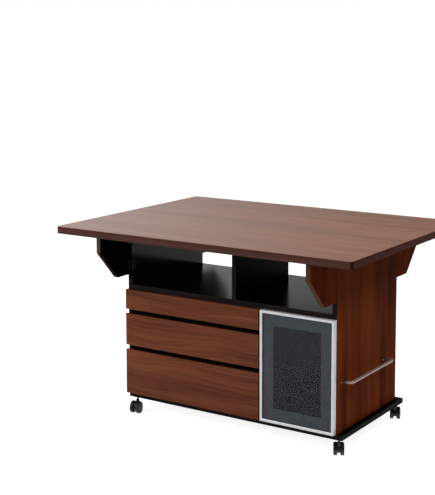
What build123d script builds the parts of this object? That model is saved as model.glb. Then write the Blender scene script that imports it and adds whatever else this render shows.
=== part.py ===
from build123d import *
import os

# Kitchen counter with drop leaves, three drawers, a glass door and casters.
# Millimetres, +Z up, +X to the right along the front, +Y to the back.
# The origin is on the floor under the middle of the open tabletop.

# Tabletop
TOP_LENGTH = 1400
SEAM_REACH = 26
LEAF_DEPTH = 225
LEAF_SEAM = 1
TOP_THICK = 30
TOP_CORNER_RADIUS = 15
TOP_EDGE_ROUND = 2

# Body
BODY_WIDTH = 1020
BODY_DEPTH = 546
SIDE_THICK = 20
DECK_THICK = 20
SHELF_OPENING = 243
BAY_HEIGHT = 463
UPPER_PARTITION_THICK = 20
UPPER_PARTITION_DEPTH = 430
LEFT_SHELF_BAY = 515
LOWER_PARTITION_THICK = 20
DRAWER_BAY_WIDTH = 649
BACK_THICK = 15
BASE_THICK = 20
BASE_REACH_RIGHT = 26
BASE_REACH_REAR = 24

# Drawer fronts and door, laid over the front edges of the body
FRONT_THICK = 20
FRONT_GAP = 2
FINGER_GAP = 20
FINGER_BEVEL = 9
FRONT_BOTTOM_GAP = 2
BOARD_EDGE_ROUND = 1
TOP_FRONT_HEIGHT = 86
MIDDLE_FRONT_HEIGHT = 139
DOOR_GAP = 6
RAIL_DEPTH = 70

# Drawer boxes and runners
BOX_WALL = 12
BOX_REAR_GAP = 53
BOX_HEIGHTS = {"top": 70, "middle": 110, "bottom": 160}
BOX_LIFT = 6
BOTTOM_THICK = 5
BOTTOM_SETUP = 8
GROOVE_DEPTH = 6
GROOVE_PLAY = 0.3
RUNNER_SPACE = 13
RUNNER_HEIGHT = 35
RUNNER_METAL = 1.5
RUNNER_LIP = 9.5
RUNNER_PLAY = 0.3
RUNNER_REAR_SETBACK = 25
RUNNER_SETBACK = 3
RUNNER_LIFT = 18
RUNNER_OVERLAP = 6

# Door
FRAME_FACE = 12
FRAME_LIP = 2
SLOT_DEPTH = 8
FLANGE_REACH = 40
FLANGE_THICK = 2
GLASS_THICK = 4
BORDER_THICK = 3
BORDER_BAND = 60
GLASS_PLAY = 0.25
CUP_HEIGHT = 46
CUP_DEPTH = 12
CUP_MARGIN = 2
CUP_ROUND = 3
ARM_LENGTH = 62
ARM_HEIGHT = 16
ARM_REACH = 12
ARM_PLATE_HEIGHT = 50
ARM_PLATE_LENGTH = 22
ARM_PLATE_THICK = 2.5
HINGE_INSET = 80
CATCH_LENGTH = 44
CATCH_DEPTH = 14
CATCH_REACH = 11
STRIKE_THICK = 1.5

# Cupboard shelf
SHELF_THICK = 15
SHELF_HEIGHT = 225
SHELF_SIDE_PLAY = 1
SHELF_SETBACK = 36
PIN_DIAMETER = 5
PIN_HOLE_PLAY = 0.05
PIN_DEPTH = 9
PIN_REACH = 8
PIN_HEAD_RADIUS = 4.5
PIN_FLAT = 3.5
PIN_INSET = 60

# Support wings
WING_LENGTH = 214
WING_GAP = 2
WING_THICK = 20
WING_HEIGHT = 195
WING_OUTER_EDGE = 72
WING_FOOT = 100
WING_CORNER = 6
WING_TOP_PLAY = 0.5

# Butt hinges of wings and leaves
HINGE_METAL = 2
KNUCKLE_RADIUS = 4
HINGE_PIN_RADIUS = 2
HINGE_PIN_PLAY = 0.1
HINGE_PLATE_WIDTH = 24
HINGE_CLEAR = 0.5
KNUCKLE_GAP = 0.4
HINGE_PIN_END = 1
WING_HINGE_LENGTH = 48
WING_HINGE_INSET = 14
LEAF_HINGE_LENGTH = 70
LEAF_HINGE_SPACING = 220

# Towel bar
BAR_DIAMETER = 12
BAR_LENGTH = 380
BAR_STANDOFF = 45
BAR_HEIGHT = 302
BAR_FRONT_INSET = 42
BAR_BEND = 13
ROSETTE_DIAMETER = 19
ROSETTE_THICK = 3
ROSETTE_PLAY = 0.05

# Angle brackets under the tabletop
ANGLE_LEG = 30
ANGLE_WIDTH = 30
ANGLE_METAL = 2
ANGLE_INSET = 110

# Casters
CASTER_HEIGHT = 74
CASTER_INSET = 25
CASTER_TRAIL = 16
WHEEL_DIAMETER = 50
WHEEL_WIDTH = 14.5
WHEEL_GAP = 0.6
WHEEL_EDGE = 2.5
WEB_WIDTH = 13
WEB_RADIUS = 15
HOOD_GAP = 1
HOOD_THICK = 2
HOOD_START = 40
HOOD_END = 190
HOOD_EDGE_ROUND = 0.8
STEM_RADIUS = 4
STEM_PLAY = 0.1
STEM_SOCKET = 16
STEM_LOW_END = 38
STEM_END_PLAY = 2
STEM_PLATE_RADIUS = 9
STEM_PLATE_THICK = 2
BOSS_RADIUS = 7
BOSS_TOP = 57
AXLE_RADIUS = 3
AXLE_PLAY = 0.08
HUB_RECESS = 2.5
HUB_RADIUS = 15
CASTER_TURNS = {"front_left": 280, "front_right": 120, "rear_left": 118, "rear_right": 110}

# Heights
base_bottom = CASTER_HEIGHT
base_top = base_bottom + BASE_THICK
deck_bottom = base_top + BAY_HEIGHT
deck_top = deck_bottom + DECK_THICK
top_under = deck_top + SHELF_OPENING

# Plan places
body_left = -BODY_WIDTH / 2
body_right = BODY_WIDTH / 2
body_front = -BODY_DEPTH / 2
body_rear = BODY_DEPTH / 2
inner_left = body_left + SIDE_THICK
inner_right = body_right - SIDE_THICK
front_back_face = body_front - FRONT_GAP
front_face = front_back_face - FRONT_THICK
seam_y = body_rear + SEAM_REACH
partition_left = inner_left + DRAWER_BAY_WIDTH
partition_right = partition_left + LOWER_PARTITION_THICK
partition_middle = (partition_left + partition_right) / 2
drawer_front_right = partition_middle - DOOR_GAP / 2
door_left = partition_middle + DOOR_GAP / 2

front_bottom = base_top + FRONT_BOTTOM_GAP
knuckle_offset = KNUCKLE_RADIUS + HINGE_CLEAR


def block(x_span, y_span, z_span):
    """A plain board between two corners, as a new solid."""
    size_x, size_y, size_z = (span[1] - span[0] for span in (x_span, y_span, z_span))
    with BuildPart() as board:
        with BuildSketch(Plane.XY.offset(z_span[0])):
            with Locations(((x_span[0] + x_span[1]) / 2, (y_span[0] + y_span[1]) / 2)):
                Rectangle(size_x, size_y)
        extrude(amount=size_z)
    return board.part


def save(part, name):
    """Labels a finished piece and writes its file."""
    part.label = name
    export_step(part, "parts/" + name + ".step")


os.makedirs("parts", exist_ok=True)

# Tabletop boards. The outer corners are rounded in plan and the outer top edges are eased.
leaf_middle = seam_y + LEAF_SEAM + LEAF_DEPTH / 2
for name, middle, depth, outer in (
    ("tabletop_center", 0, 2 * seam_y, 0),
    ("front_leaf", -leaf_middle, LEAF_DEPTH, -1),
    ("rear_leaf", leaf_middle, LEAF_DEPTH, 1),
):
    with BuildPart() as tabletop:
        with BuildSketch(Plane.XY.offset(top_under)):
            with Locations((0, middle)):
                Rectangle(TOP_LENGTH, depth)
        extrude(amount=TOP_THICK)
        if outer:
            side = 0 if outer < 0 else -1
            fillet(tabletop.edges().filter_by(Axis.Z).group_by(Axis.Y)[side], TOP_CORNER_RADIUS)
            rim = tabletop.edges().group_by(Axis.Z)[-1]
            seam_edge = rim.filter_by(Axis.X).sort_by(Axis.Y)[-1 if outer < 0 else 0]
            fillet(ShapeList(edge for edge in rim if edge != seam_edge), TOP_EDGE_ROUND)
        else:
            fillet(tabletop.edges().group_by(Axis.Z)[-1].filter_by(Axis.Y), TOP_EDGE_ROUND)
    save(tabletop.part, name)

# Side panels and lower partition. The right panel and the partition have holes for the shelf pins.
shelf_bottom = base_top + SHELF_HEIGHT
pin_z = shelf_bottom - PIN_FLAT
pin_ys = (body_front + SHELF_SETBACK + PIN_INSET, body_rear - BACK_THICK - PIN_INSET)
pin_planes = []
for face, way in ((partition_right, 1), (inner_right, -1)):
    for y in pin_ys:
        pin_planes.append(Plane(origin=(face, y, pin_z), x_dir=(0, 1, 0), z_dir=(way, 0, 0)))

side_left = block((body_left, inner_left), (body_front, body_rear), (base_top, top_under))
save(side_left, "side_panel_left")

side_blank = block((inner_right, body_right), (body_front, body_rear), (base_top, top_under))
partition_blank = block(
    (partition_left, partition_right), (body_front, body_rear - BACK_THICK), (base_top, deck_bottom)
)
for name, blank, planes in (
    ("side_panel_right", side_blank, pin_planes[2:]),
    ("lower_partition", partition_blank, pin_planes[:2]),
):
    with BuildPart() as upright:
        add(blank)
        with BuildSketch(*planes):
            Circle(PIN_DIAMETER / 2 + PIN_HOLE_PLAY)
        extrude(amount=-(PIN_DEPTH + PIN_HOLE_PLAY), mode=Mode.SUBTRACT)
    save(upright.part, name)

# Other boards of the body
save(block((inner_left, inner_right), (body_front, body_rear), (deck_bottom, deck_top)), "deck_board")
upper_partition_left = inner_left + LEFT_SHELF_BAY
upper_partition = block(
    (upper_partition_left, upper_partition_left + UPPER_PARTITION_THICK),
    (body_front, body_front + UPPER_PARTITION_DEPTH),
    (deck_top, top_under),
)
save(upper_partition, "upper_partition")
back_panel = block((inner_left, inner_right), (body_rear - BACK_THICK, body_rear), (base_top, deck_bottom))
save(back_panel, "back_panel")

# Drawer levels from the top down: front and rail heights
upper_rail_top = deck_bottom - TOP_FRONT_HEIGHT
upper_rail_bottom = upper_rail_top - FINGER_GAP
lower_rail_top = upper_rail_bottom - MIDDLE_FRONT_HEIGHT
lower_rail_bottom = lower_rail_top - FINGER_GAP
for name, bottom, top in (
    ("upper_drawer_rail", upper_rail_bottom, upper_rail_top),
    ("lower_drawer_rail", lower_rail_bottom, lower_rail_top),
):
    save(block((inner_left, partition_left), (body_front, body_front + RAIL_DEPTH), (bottom, top)), name)

# Base board with blind holes for the caster stems
caster_places = {
    "front_left": (body_left + CASTER_INSET, body_front + CASTER_INSET),
    "front_right": (body_right + BASE_REACH_RIGHT - CASTER_INSET, body_front + CASTER_INSET),
    "rear_left": (body_left + CASTER_INSET, body_rear + BASE_REACH_REAR - CASTER_INSET),
    "rear_right": (
        body_right + BASE_REACH_RIGHT - CASTER_INSET,
        body_rear + BASE_REACH_REAR - CASTER_INSET,
    ),
}
base_blank = block(
    (body_left, body_right + BASE_REACH_RIGHT),
    (body_front, body_rear + BASE_REACH_REAR),
    (base_bottom, base_top),
)
with BuildPart() as base_board:
    add(base_blank)
    with BuildSketch(Plane.XY.offset(base_bottom)):
        with Locations(*caster_places.values()):
            Circle(STEM_RADIUS + STEM_PLAY)
    extrude(amount=STEM_SOCKET, mode=Mode.SUBTRACT)
save(base_board.part, "base_board")

# Drawers. Each box is open at the front, where the drawer front closes it.
box_left = inner_left + RUNNER_SPACE
box_right = partition_left - RUNNER_SPACE
box_middle = (box_left + box_right) / 2
box_width = box_right - box_left
box_rear = body_rear - BACK_THICK - BOX_REAR_GAP
box_depth = box_rear - front_back_face
runner_front = body_front + RUNNER_SETBACK
runner_length = box_rear - RUNNER_REAR_SETBACK - runner_front


def drawer_front(bottom, top, bevel_bottom, bevel_top):
    """A front board with finger bevels on its inner edges."""
    blank = block((body_left, drawer_front_right), (front_face, front_back_face), (bottom, top))
    with BuildPart() as board:
        add(blank)
        inner_edges = board.edges().filter_by(Axis.X).group_by(Axis.Y)[-1].sort_by(Axis.Z)
        if bevel_bottom:
            chamfer(inner_edges[0], FINGER_BEVEL)
        if bevel_top:
            chamfer(inner_edges[-1], FINGER_BEVEL)
        fillet(board.faces().sort_by(Axis.Y)[0].edges(), BOARD_EDGE_ROUND)
    return board.part


def drawer_box(bottom, height):
    """Two sides and a back as one U, with a groove for the bottom."""
    open_reach = box_depth - BOX_WALL
    with BuildPart() as box:
        with BuildSketch(Plane.XY.offset(bottom)):
            with Locations((box_middle, (front_back_face + box_rear) / 2)):
                Rectangle(box_width, box_depth)
            with Locations((box_middle, front_back_face + open_reach / 2)):
                Rectangle(box_width - 2 * BOX_WALL, open_reach, mode=Mode.SUBTRACT)
        extrude(amount=height)
        with BuildSketch(Plane.XY.offset(bottom + BOTTOM_SETUP)):
            with Locations((box_middle, front_back_face + (open_reach + GROOVE_DEPTH) / 2)):
                Rectangle(box_width - 2 * (BOX_WALL - GROOVE_DEPTH), open_reach + GROOVE_DEPTH)
        extrude(amount=BOTTOM_THICK + GROOVE_PLAY, mode=Mode.SUBTRACT)
    return box.part


def runner_rail(height, web, lip, bottom):
    """Both sides' C-shaped members of one drawer, webs and lips given as distances from the bay's walls."""
    with BuildPart() as rails:
        with BuildSketch(Plane(origin=(0, runner_front, bottom), x_dir=(1, 0, 0), z_dir=(0, -1, 0))):
            for wall, way in ((inner_left, 1), (partition_left, -1)):
                with Locations((wall + way * (web[0] + web[1]) / 2, height / 2)):
                    Rectangle(web[1] - web[0], height)
                for z in (RUNNER_METAL / 2, height - RUNNER_METAL / 2):
                    with Locations((wall + way * (lip[0] + lip[1]) / 2, z)):
                        Rectangle(lip[1] - lip[0], RUNNER_METAL)
        extrude(amount=-runner_length)
    return rails.part


fixed_runners = []
moving_height = RUNNER_HEIGHT - 2 * RUNNER_METAL - 2 * RUNNER_PLAY
moving_lip = (RUNNER_LIP - RUNNER_OVERLAP, RUNNER_SPACE)
for level, bottom, top, box_bottom, bevel_bottom, bevel_top in (
    ("top", upper_rail_top, deck_bottom, upper_rail_top, True, False),
    ("middle", lower_rail_top, upper_rail_bottom, lower_rail_top, True, True),
    ("bottom", front_bottom, lower_rail_bottom, base_top, False, True),
):
    lifted = box_bottom + BOX_LIFT
    save(drawer_front(bottom, top, bevel_bottom, bevel_top), "drawer_front_" + level)
    save(drawer_box(lifted, BOX_HEIGHTS[level]), "drawer_box_" + level)
    inset = BOX_WALL - GROOVE_DEPTH + GROOVE_PLAY
    drawer_bottom = block(
        (box_left + inset, box_right - inset),
        (front_back_face, box_rear - inset),
        (lifted + BOTTOM_SETUP, lifted + BOTTOM_SETUP + BOTTOM_THICK),
    )
    save(drawer_bottom, "drawer_bottom_" + level)
    runner_bottom = lifted + RUNNER_LIFT
    fixed_web = (0, RUNNER_METAL)
    fixed_runners.append(runner_rail(RUNNER_HEIGHT, fixed_web, (0, RUNNER_LIP), runner_bottom))
    moving_bottom = runner_bottom + RUNNER_METAL + RUNNER_PLAY
    moving_web = (RUNNER_SPACE - RUNNER_METAL, RUNNER_SPACE)
    save(runner_rail(moving_height, moving_web, moving_lip, moving_bottom), "runners_moving_" + level)

with BuildPart() as runners_fixed:
    add(fixed_runners)
save(runners_fixed.part, "runners_fixed")

# Door. Four mitred lengths of one profile hold the glass and its border band in a slot.
door_width = body_right - door_left
door_height = deck_bottom - front_bottom
door_plane = Plane(
    origin=((door_left + body_right) / 2, front_face, (front_bottom + deck_bottom) / 2),
    x_dir=(1, 0, 0),
    z_dir=(0, -1, 0),
)
slot_end = FRAME_LIP + GLASS_THICK + BORDER_THICK + 2 * GLASS_PLAY
slot_inset = FRAME_FACE - SLOT_DEPTH


def door_ring(outer_inset, inner_inset, near, far):
    """A rectangular ring in the door's plane, between two depths from its face."""
    with BuildPart() as ring:
        with BuildSketch(door_plane.offset(-near)):
            Rectangle(door_width - 2 * outer_inset, door_height - 2 * outer_inset)
            Rectangle(door_width - 2 * inner_inset, door_height - 2 * inner_inset, mode=Mode.SUBTRACT)
        extrude(amount=near - far)
    return ring.part


ring_layers = [
    door_ring(0, FRAME_FACE, 0, FRAME_LIP),
    door_ring(0, slot_inset, FRAME_LIP, slot_end),
    door_ring(0, FRAME_FACE, slot_end, FRONT_THICK - FLANGE_THICK),
    door_ring(0, FLANGE_REACH, FRONT_THICK - FLANGE_THICK, FRONT_THICK),
]
half_width = door_width / 2
half_height = door_height / 2
inner_width = half_width - FLANGE_REACH
inner_height = half_height - FLANGE_REACH
quarters = ((-1, -1), (1, -1), (1, 1), (-1, 1))
outer_corners = [(x * half_width, y * half_height) for x, y in quarters]
inner_corners = [(x * inner_width, y * inner_height) for x, y in quarters]
frame_lengths = []
for i in range(4):
    after = (i + 1) % 4
    with BuildPart() as length:
        add(ring_layers)
        with BuildSketch(door_plane):
            mitred = (outer_corners[i], outer_corners[after], inner_corners[after], inner_corners[i])
            Polygon(*mitred, align=None)
        extrude(amount=-FRONT_THICK, mode=Mode.INTERSECT)
    frame_lengths.append(length.part.solids()[0])
save(Compound(frame_lengths), "door_frame")

glass_inset = slot_inset + GLASS_PLAY
glass_front = FRAME_LIP + GLASS_PLAY
with BuildPart() as door_glass:
    with BuildSketch(door_plane.offset(-glass_front)):
        Rectangle(door_width - 2 * glass_inset, door_height - 2 * glass_inset)
    extrude(amount=-GLASS_THICK)
save(door_glass.part, "door_glass")
border_front = glass_front + GLASS_THICK
save(door_ring(glass_inset, BORDER_BAND, border_front, border_front + BORDER_THICK), "door_border")

# Concealed hinges: cup housings on the door's flange, arms on the side panel behind them
hinge_heights = (front_bottom + HINGE_INSET, deck_bottom - HINGE_INSET)
cup_span = (body_right - FLANGE_REACH + CUP_MARGIN, inner_right - CUP_MARGIN)
arm_front = front_back_face + CUP_DEPTH + HINGE_CLEAR
cups = []
arms = []
for z in hinge_heights:
    cup_z = (z - CUP_HEIGHT / 2, z + CUP_HEIGHT / 2)
    cups.append(block(cup_span, (front_back_face, front_back_face + CUP_DEPTH), cup_z))
    arm_z = (z - ARM_HEIGHT / 2, z + ARM_HEIGHT / 2)
    arms.append(block((inner_right - ARM_REACH, inner_right), (arm_front, arm_front + ARM_LENGTH), arm_z))
    plate_front = arm_front + (ARM_LENGTH - ARM_PLATE_LENGTH) / 2
    arms.append(
        block(
            (inner_right - ARM_PLATE_THICK, inner_right),
            (plate_front, plate_front + ARM_PLATE_LENGTH),
            (z - ARM_PLATE_HEIGHT / 2, z + ARM_PLATE_HEIGHT / 2),
        )
    )
with BuildPart() as door_hinge_cups:
    add(cups)
    fillet(door_hinge_cups.edges().filter_by(Axis.X).group_by(Axis.Y)[-1], CUP_ROUND)
save(door_hinge_cups.part, "door_hinge_cups")
with BuildPart() as door_hinge_arms:
    add(arms)
save(door_hinge_arms.part, "door_hinge_arms")

# Magnetic catch under the deck and its strike plate on the door
catch_top = deck_bottom - CATCH_REACH
catch = block(
    (partition_right, partition_right + CATCH_REACH),
    (body_front, body_front + CATCH_DEPTH),
    (catch_top - CATCH_LENGTH, catch_top),
)
save(catch, "door_catch")
strike = block(
    (partition_right, partition_right + CATCH_REACH),
    (front_back_face, front_back_face + STRIKE_THICK),
    (catch_top - CATCH_LENGTH, catch_top),
)
save(strike, "door_catch_strike")

# Cupboard shelf and the pins that carry it
cupboard_shelf = block(
    (partition_right + SHELF_SIDE_PLAY, inner_right - SHELF_SIDE_PLAY),
    (body_front + SHELF_SETBACK, body_rear - BACK_THICK - SHELF_SIDE_PLAY),
    (shelf_bottom, shelf_bottom + SHELF_THICK),
)
save(cupboard_shelf, "inner_shelf")
with BuildPart() as shelf_pins:
    with BuildSketch(*pin_planes):
        Circle(PIN_DIAMETER / 2)
    extrude(amount=-PIN_DEPTH)
    with BuildSketch(*pin_planes):
        Circle(PIN_HEAD_RADIUS)
    extrude(amount=PIN_REACH)
    with BuildSketch(Plane.XY.offset(shelf_bottom)):
        with Locations(((partition_right + inner_right) / 2, 0)):
            Rectangle(inner_right - partition_right, BODY_DEPTH)
    extrude(amount=PIN_HEAD_RADIUS, mode=Mode.SUBTRACT)
save(shelf_pins.part, "shelf_pins")


# Butt hinges. Local x runs along the plate, y off the board's face, z along the pin.
def hinge_half(length, half_gap, moving):
    """One plate of a butt hinge with its own knuckles, the middle one for the moving plate."""
    segment = (length - 2 * KNUCKLE_GAP) / 3
    starts = [i * (segment + KNUCKLE_GAP) for i in range(3)]
    own, other = (starts[1:2], starts[::2]) if moving else (starts[::2], starts[1:2])
    way = -1 if moving else 1
    with BuildPart() as half:
        with BuildSketch():
            with Locations((way * (half_gap + HINGE_PLATE_WIDTH / 2), HINGE_METAL / 2 - knuckle_offset)):
                Rectangle(HINGE_PLATE_WIDTH, HINGE_METAL)
        extrude(amount=length)
        for start in other:
            with BuildSketch(Plane.XY.offset(start - KNUCKLE_GAP)):
                Circle(KNUCKLE_RADIUS + HINGE_CLEAR)
            extrude(amount=segment + 2 * KNUCKLE_GAP, mode=Mode.SUBTRACT)
        for start in own:
            with BuildSketch(Plane.XY.offset(start)):
                Circle(KNUCKLE_RADIUS)
            extrude(amount=segment)
        with BuildSketch():
            Circle(HINGE_PIN_RADIUS + HINGE_PIN_PLAY)
        extrude(amount=length, mode=Mode.SUBTRACT)
    return half.part


def hinge_pin(length):
    """A pin that stands out a little at both ends of its hinge."""
    with BuildPart() as pin:
        with BuildSketch(Plane.XY.offset(-HINGE_PIN_END)):
            Circle(HINGE_PIN_RADIUS)
        extrude(amount=length + 2 * HINGE_PIN_END)
    return pin.part


def placed(part, planes):
    """Copies of a part on each of the planes, as one group of solids."""
    with BuildPart() as copies:
        with Locations(*planes):
            add(part)
    return copies.part


# Support wings, one trapezoid at each upright edge of the side panels
wing_top = top_under - WING_TOP_PLAY
wing_bottom = top_under - WING_HEIGHT
wing_kink = top_under - WING_OUTER_EDGE
wing_hinge_bottoms = (wing_bottom + WING_HINGE_INSET, wing_top - WING_HINGE_INSET - WING_HINGE_LENGTH)
wing_fixed_half = hinge_half(WING_HINGE_LENGTH, WING_GAP / 2, False)
wing_moving_half = hinge_half(WING_HINGE_LENGTH, WING_GAP / 2, True)
all_wing_planes = []
for end, panel_edge in (("front", body_front), ("rear", body_rear)):
    for hand, inner_face, outer_face in (("left", inner_left, body_left), ("right", inner_right, body_right)):
        way_y = -1 if end == "front" else 1
        way_x = -1 if hand == "left" else 1
        near = panel_edge + way_y * WING_GAP
        far = near + way_y * WING_LENGTH
        foot = panel_edge + way_y * WING_FOOT
        outline = [
            (near, wing_bottom),
            (near, wing_top),
            (far, wing_top),
            (far, wing_kink),
            (foot, wing_bottom),
        ]
        with BuildPart() as wing:
            with BuildSketch(Plane(origin=(outer_face, 0, 0), x_dir=(0, 1, 0), z_dir=(1, 0, 0))):
                Polygon(*outline, align=None)
            extrude(amount=-way_x * WING_THICK)
            low_corners = wing.edges().filter_by(Axis.X).group_by(Axis.Z)[0].sort_by(Axis.Y)
            fillet(low_corners[0 if way_y < 0 else -1], WING_CORNER)
            fillet(wing.faces().sort_by(Axis.X)[0 if way_x < 0 else -1].edges(), BOARD_EDGE_ROUND)
        save(wing.part, "support_wing_" + end + "_" + hand)
        planes = []
        for bottom in wing_hinge_bottoms:
            start = bottom if way_x * way_y < 0 else bottom + WING_HINGE_LENGTH
            planes.append(
                Plane(
                    origin=(inner_face - way_x * knuckle_offset, panel_edge + way_y * WING_GAP / 2, start),
                    x_dir=(0, -way_y, 0),
                    z_dir=(0, 0, -way_x * way_y),
                )
            )
        save(placed(wing_moving_half, planes), "wing_hinge_plates_" + end + "_" + hand)
        all_wing_planes += planes
save(placed(wing_fixed_half, all_wing_planes), "wing_hinge_fixed_plates")
save(placed(hinge_pin(WING_HINGE_LENGTH), all_wing_planes), "wing_hinge_pins")

# Leaf hinges under the two seams
leaf_fixed_half = hinge_half(LEAF_HINGE_LENGTH, LEAF_SEAM / 2, False)
leaf_moving_half = hinge_half(LEAF_HINGE_LENGTH, LEAF_SEAM / 2, True)
all_leaf_planes = []
leaf_pin_y = seam_y + LEAF_SEAM / 2
for end, way_y in (("front", -1), ("rear", 1)):
    planes = []
    for x in (-LEAF_HINGE_SPACING, 0, LEAF_HINGE_SPACING):
        planes.append(
            Plane(
                origin=(x - way_y * LEAF_HINGE_LENGTH / 2, way_y * leaf_pin_y, top_under - knuckle_offset),
                x_dir=(0, -way_y, 0),
                z_dir=(way_y, 0, 0),
            )
        )
    save(placed(leaf_moving_half, planes), end + "_leaf_hinge_plates")
    all_leaf_planes += planes
save(placed(leaf_fixed_half, all_leaf_planes), "leaf_hinge_fixed_plates")
save(placed(hinge_pin(LEAF_HINGE_LENGTH), all_leaf_planes), "leaf_hinge_pins")

# Towel bar: a bent rod whose ends meet the side panel inside two rosettes
bar_ends = (body_front + BAR_FRONT_INSET, body_front + BAR_FRONT_INSET + BAR_LENGTH)
bar_x = body_right + BAR_STANDOFF
with BuildPart() as towel_bar:
    with BuildLine() as bar_path:
        FilletPolyline(
            (body_right, bar_ends[0], BAR_HEIGHT),
            (bar_x, bar_ends[0], BAR_HEIGHT),
            (bar_x, bar_ends[1], BAR_HEIGHT),
            (body_right, bar_ends[1], BAR_HEIGHT),
            radius=BAR_BEND,
        )
    with BuildSketch(Plane(origin=bar_path.line @ 0, z_dir=bar_path.line % 0)):
        Circle(BAR_DIAMETER / 2)
    sweep()
save(towel_bar.part, "towel_bar_rail")
bar_planes = [Plane(origin=(body_right, y, BAR_HEIGHT), x_dir=(0, 1, 0), z_dir=(1, 0, 0)) for y in bar_ends]
with BuildPart() as rosettes:
    with BuildSketch(*bar_planes):
        Circle(ROSETTE_DIAMETER / 2)
        Circle(BAR_DIAMETER / 2 + ROSETTE_PLAY, mode=Mode.SUBTRACT)
    extrude(amount=ROSETTE_THICK)
save(rosettes.part, "towel_bar_rosettes")

# Angle brackets between the side panels and the middle board of the top
with BuildPart() as angle_brackets:
    for face, way in ((inner_left, 1), (inner_right, -1)):
        for y in (body_front + ANGLE_INSET, body_rear - ANGLE_INSET):
            with BuildSketch(Plane(origin=(face, y, top_under), x_dir=(1, 0, 0), z_dir=(0, -1, 0))):
                with Locations((way * ANGLE_LEG / 2, -ANGLE_METAL / 2)):
                    Rectangle(ANGLE_LEG, ANGLE_METAL)
                with Locations((way * ANGLE_METAL / 2, -ANGLE_LEG / 2)):
                    Rectangle(ANGLE_METAL, ANGLE_LEG)
            extrude(amount=ANGLE_WIDTH / 2, both=True)
save(angle_brackets.part, "tabletop_angle_brackets")

# Casters. In the local frame the stem is on z and the wheels trail towards +x.
wheel_radius = WHEEL_DIAMETER / 2
hood_inner = wheel_radius + HOOD_GAP
hood_outer = hood_inner + HOOD_THICK
wheel_inner_face = WEB_WIDTH / 2 + WHEEL_GAP
wheel_outer_face = wheel_inner_face + WHEEL_WIDTH
wheel_axis = Plane(origin=(CASTER_TRAIL, 0, wheel_radius), x_dir=(1, 0, 0), z_dir=(0, -1, 0))

with BuildPart() as stems:
    with BuildSketch(Plane.XY.offset(STEM_LOW_END)):
        with Locations(*caster_places.values()):
            Circle(STEM_RADIUS)
    extrude(amount=base_bottom + STEM_SOCKET - STEM_LOW_END)
    with BuildSketch(Plane.XY.offset(base_bottom - STEM_PLATE_THICK)):
        with Locations(*caster_places.values()):
            Circle(STEM_PLATE_RADIUS)
    extrude(amount=STEM_PLATE_THICK)
save(stems.part, "caster_stems")

with BuildPart() as fork:
    with BuildSketch(Plane.XY.offset(STEM_LOW_END)):
        Circle(BOSS_RADIUS)
    extrude(amount=BOSS_TOP - STEM_LOW_END)
    with BuildSketch(wheel_axis):
        Circle(hood_inner)
    extrude(amount=wheel_outer_face, both=True, mode=Mode.SUBTRACT)
    hood_sides = [Vector(hood_outer, 0).rotate(Axis.Z, angle) for angle in (HOOD_START, HOOD_END)]
    with BuildSketch(wheel_axis):
        Circle(WEB_RADIUS)
        with BuildLine():
            CenterArc((0, 0), hood_outer, HOOD_START, HOOD_END - HOOD_START)
            Polyline(hood_sides[1], (0, 0), hood_sides[0])
        make_face()
    extrude(amount=WEB_WIDTH / 2, both=True)
    with BuildSketch(wheel_axis):
        with BuildLine():
            CenterArc((0, 0), hood_outer, HOOD_START, HOOD_END - HOOD_START)
            CenterArc((0, 0), hood_inner, HOOD_START, HOOD_END - HOOD_START)
            for side in hood_sides:
                Line(side * (hood_inner / hood_outer), side)
        make_face()
    extrude(amount=wheel_outer_face - HUB_RECESS, both=True)
    hood_rims = fork.edges().filter_by(GeomType.CIRCLE).filter_by(lambda edge: edge.radius == hood_outer)
    fillet(ShapeList(edge for edge in hood_rims if abs(edge.center().Y) > WEB_WIDTH), HOOD_EDGE_ROUND)
    with BuildSketch(wheel_axis):
        Circle(AXLE_RADIUS)
    extrude(amount=wheel_outer_face - HUB_RECESS, both=True)
    with BuildSketch(Plane.XY.offset(STEM_LOW_END - STEM_END_PLAY)):
        Circle(STEM_RADIUS + STEM_PLAY)
    extrude(amount=BOSS_TOP - STEM_LOW_END + STEM_END_PLAY, mode=Mode.SUBTRACT)

with BuildPart() as wheels:
    for way in (-1, 1):
        with BuildSketch(wheel_axis.offset(way * wheel_inner_face)):
            Circle(wheel_radius)
        extrude(amount=way * WHEEL_WIDTH)
    chamfer(wheels.edges().filter_by(GeomType.CIRCLE), WHEEL_EDGE)
    for way in (-1, 1):
        with BuildSketch(wheel_axis.offset(way * (wheel_outer_face - HUB_RECESS))):
            Circle(HUB_RADIUS)
        extrude(amount=way * HUB_RECESS, mode=Mode.SUBTRACT)
    with BuildSketch(wheel_axis):
        Circle(AXLE_RADIUS + AXLE_PLAY)
    extrude(amount=wheel_outer_face, both=True, mode=Mode.SUBTRACT)

for place, (x, y) in caster_places.items():
    turned = [Location((x, y, 0), (0, 0, CASTER_TURNS[place]))]
    save(placed(fork.part, turned), "caster_fork_" + place)
    save(placed(wheels.part, turned), "caster_wheels_" + place)
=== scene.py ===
"""Dresses a kitchen counter on casters: walnut drop-leaf top, open shelf, drawers and framed glass door."""
import logging
import math
from dataclasses import dataclass, field, replace
from enum import Enum
from typing import Any, Optional, Sequence

import bmesh
import bpy
import numpy as np
from mathutils import Matrix, Vector


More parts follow.
